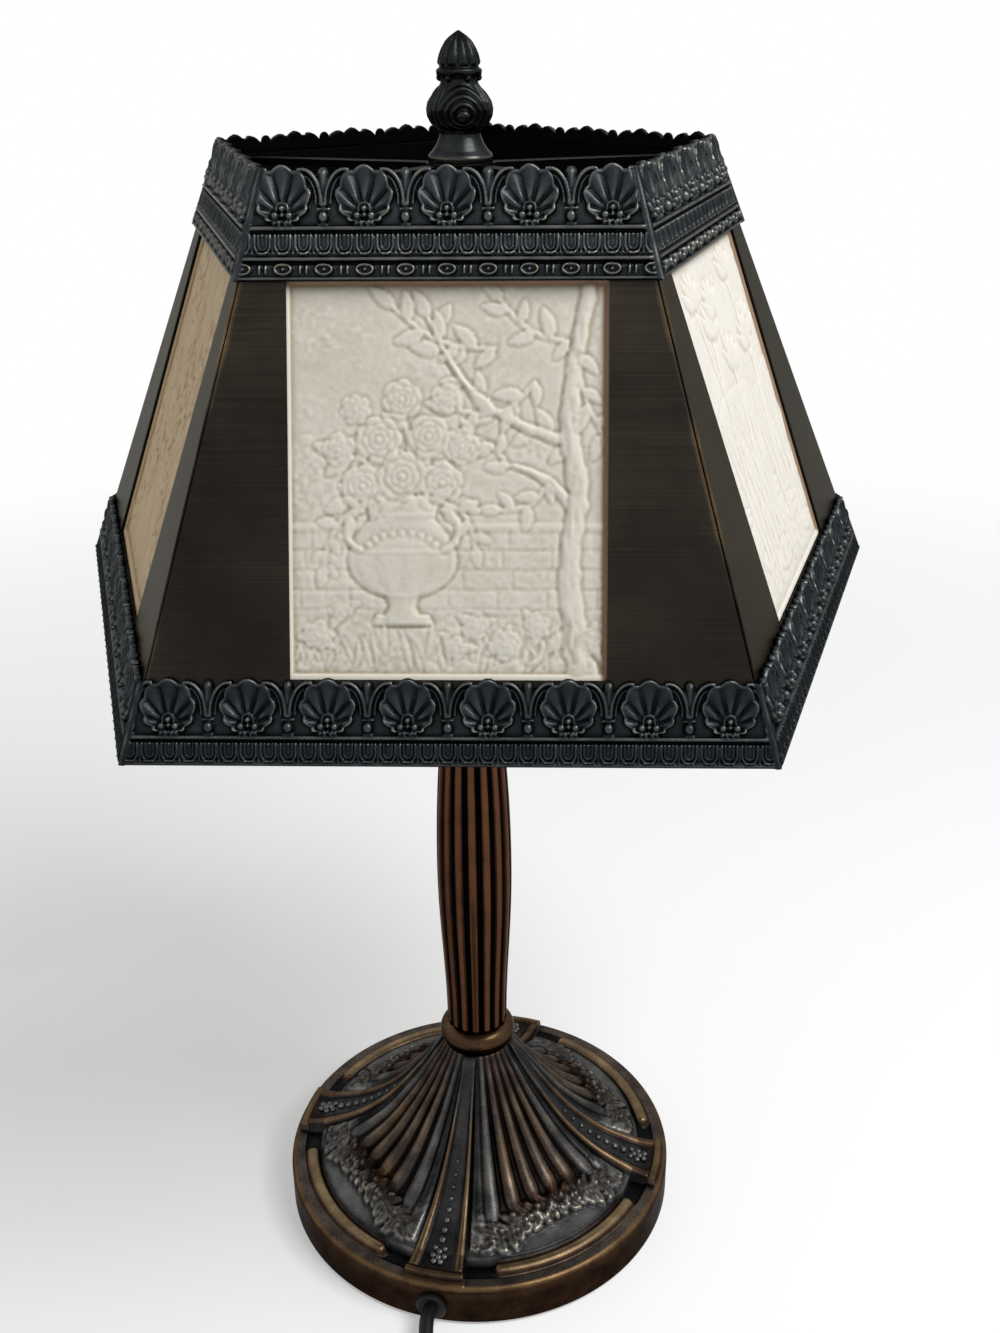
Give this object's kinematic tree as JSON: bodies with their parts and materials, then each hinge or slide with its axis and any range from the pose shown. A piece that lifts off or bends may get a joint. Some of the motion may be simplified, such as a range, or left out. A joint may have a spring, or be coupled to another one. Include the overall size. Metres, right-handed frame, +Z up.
{
  "type": "lithophane table lamp",
  "caption": "Table lamp with a five-sided metal shade holding porcelain lithophane plaques, on a fluted column and round cast foot",
  "frame": {"origin": "middle of the foot's felt underside, on the column's axis", "axes": "+Z up along the column, -Y towards the shade's front face, +X to the right seen from the front"},
  "size_m": [0.3274, 0.4262, 0.503],
  "materials": {
    "foot_bronze": "cast metal with a brown bronze patina, rubbed to brass on its edges",
    "felt": "dark felt",
    "black_rubber": "moulded black rubber",
    "lamp_brass": "turned brass, slightly aged",
    "column_bronze": "fluted casting with a red-brown bronze patina",
    "socket_brass": "drawn brass",
    "phenolic": "moulded phenolic",
    "frosted_glass": "frosted bulb glass",
    "black_cord": "round black flex",
    "plug_plastic": "moulded black plug",
    "blade_brass": "stamped brass",
    "panel_bronze": "sheet metal with a very dark brown patina, finely brushed",
    "porcelain": "unglazed white porcelain with a picture in relief",
    "band_bronze": "cast strip with a blue-black patina and rubbed highlights",
    "finial_bronze": "casting with a dark patina"
  },
  "bodies": {
    "stand": {"base_casting": "foot_bronze", "base_felt": "felt", "cord_grommet": "black_rubber", "base_washer": "lamp_brass", "base_nut": "lamp_brass", "centre_pipe": "lamp_brass", "riser_rod": "lamp_brass", "seat_nut": "lamp_brass", "neck_sleeve": "lamp_brass", "cluster_body": "lamp_brass", "cluster_cover": "lamp_brass", "column_ring": "column_bronze", "column": "column_bronze", "column_cap": "column_bronze", "socket_cap_left": "socket_brass", "socket_shell_left": "socket_brass", "socket_cap_right": "socket_brass", "socket_shell_right": "socket_brass", "bulb_base_left": "socket_brass", "bulb_base_right": "socket_brass", "socket_core_left": "phenolic", "socket_core_right": "phenolic", "bulb_glass_left": "frosted_glass", "bulb_glass_right": "frosted_glass", "inner_cord": "black_cord", "cord_lead": "black_cord", "cord_coil": "black_cord", "cord_tail": "black_cord", "cord_tie": "black_cord", "cord_plug": "plug_plastic", "plug_blades": "blade_brass"},
    "shade": {"panel_front": "panel_bronze", "panel_right": "panel_bronze", "panel_back_right": "panel_bronze", "panel_back_left": "panel_bronze", "panel_left": "panel_bronze", "plaque_front": "porcelain", "plaque_right": "porcelain", "plaque_back_right": "porcelain", "plaque_back_left": "porcelain", "plaque_left": "porcelain", "crown_front": "band_bronze", "crown_right": "band_bronze", "crown_back_right": "band_bronze", "crown_back_left": "band_bronze", "crown_left": "band_bronze", "skirt_front": "band_bronze", "skirt_right": "band_bronze", "skirt_back_right": "band_bronze", "skirt_back_left": "band_bronze", "skirt_left": "band_bronze", "corner_angles": "panel_bronze", "plaque_clips": "panel_bronze", "spider": "panel_bronze"},
    "finial": {"finial": "finial_bronze"},
    "switch_left": {"switch_key_left": "phenolic"},
    "switch_right": {"switch_key_right": "phenolic"}
  },
  "joints": [
    {"name": "shade_turn", "type": "hinge", "parent": "stand", "child": "shade", "pos_m": [0, 0, 0.459], "axis": [0, 0, 1], "continuous": true},
    {"name": "finial_turn", "type": "hinge", "parent": "stand", "child": "finial", "pos_m": [0, 0, 0.4615], "axis": [0, 0, 1], "continuous": true},
    {"name": "switch_left_turn", "type": "hinge", "parent": "stand", "child": "switch_left", "pos_m": [-0.02598, -0.02, 0.34355], "axis": [0, -1, 0], "continuous": true},
    {"name": "switch_right_turn", "type": "hinge", "parent": "stand", "child": "switch_right", "pos_m": [0.02598, -0.02, 0.34355], "axis": [0, -1, 0], "continuous": true}
  ]
}
